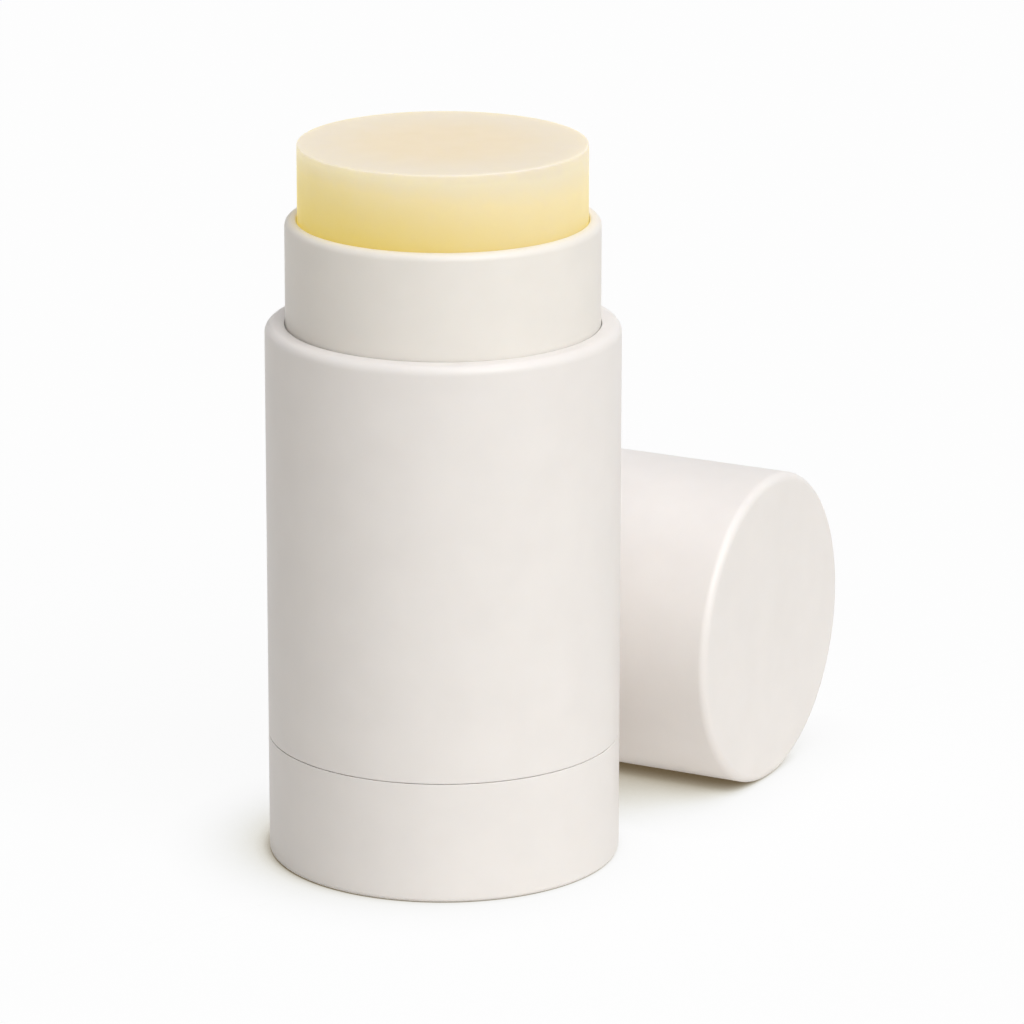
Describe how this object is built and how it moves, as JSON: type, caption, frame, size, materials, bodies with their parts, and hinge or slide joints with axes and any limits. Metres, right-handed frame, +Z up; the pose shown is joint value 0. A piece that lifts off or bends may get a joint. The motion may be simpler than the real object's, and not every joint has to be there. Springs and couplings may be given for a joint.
{
  "type": "anti-itch stick",
  "caption": "Round twist-up balm stick in a plain white barrel with a stepped neck, its balm wound up, and its cap lying on its side next to it.",
  "frame": {"origin": "middle of the base knob's underside, on the surface that the stick stands on", "axes": "+Z up along the stick's axis and the balm's travel; the cap lies behind and to the right of the stick, towards +X and +Y; the front faces -Y"},
  "size_m": [0.0838, 0.0887, 0.1029],
  "materials": {
    "white_shell": "satin moulded polypropylene",
    "white_tube": "satin moulded polypropylene",
    "natural_mechanism": "uncoloured moulded polypropylene",
    "balm": "smooth set wax balm"
  },
  "bodies": {
    "case": {"outer_barrel": "white_shell", "inner_tube": "white_tube", "cap": "white_shell"},
    "base": {"base_knob": "white_shell", "screw_spindle": "natural_mechanism"},
    "elevator": {"elevator_platform": "natural_mechanism", "balm": "balm"}
  },
  "joints": [
    {"name": "balm_rise", "type": "slide", "parent": "case", "child": "elevator", "axis": [0, 0, 1], "range_m": [-0.0117, 0.0445]},
    {"name": "base_turn", "type": "hinge", "parent": "case", "child": "base", "pos_m": [0, 0, 0], "axis": [0, 0, 1], "range_deg": [-1054, 4006]}
  ],
  "couplings": [
    {"joint": "base_turn", "follows": "balm_rise", "rad_per_m": 1570.8}
  ]
}
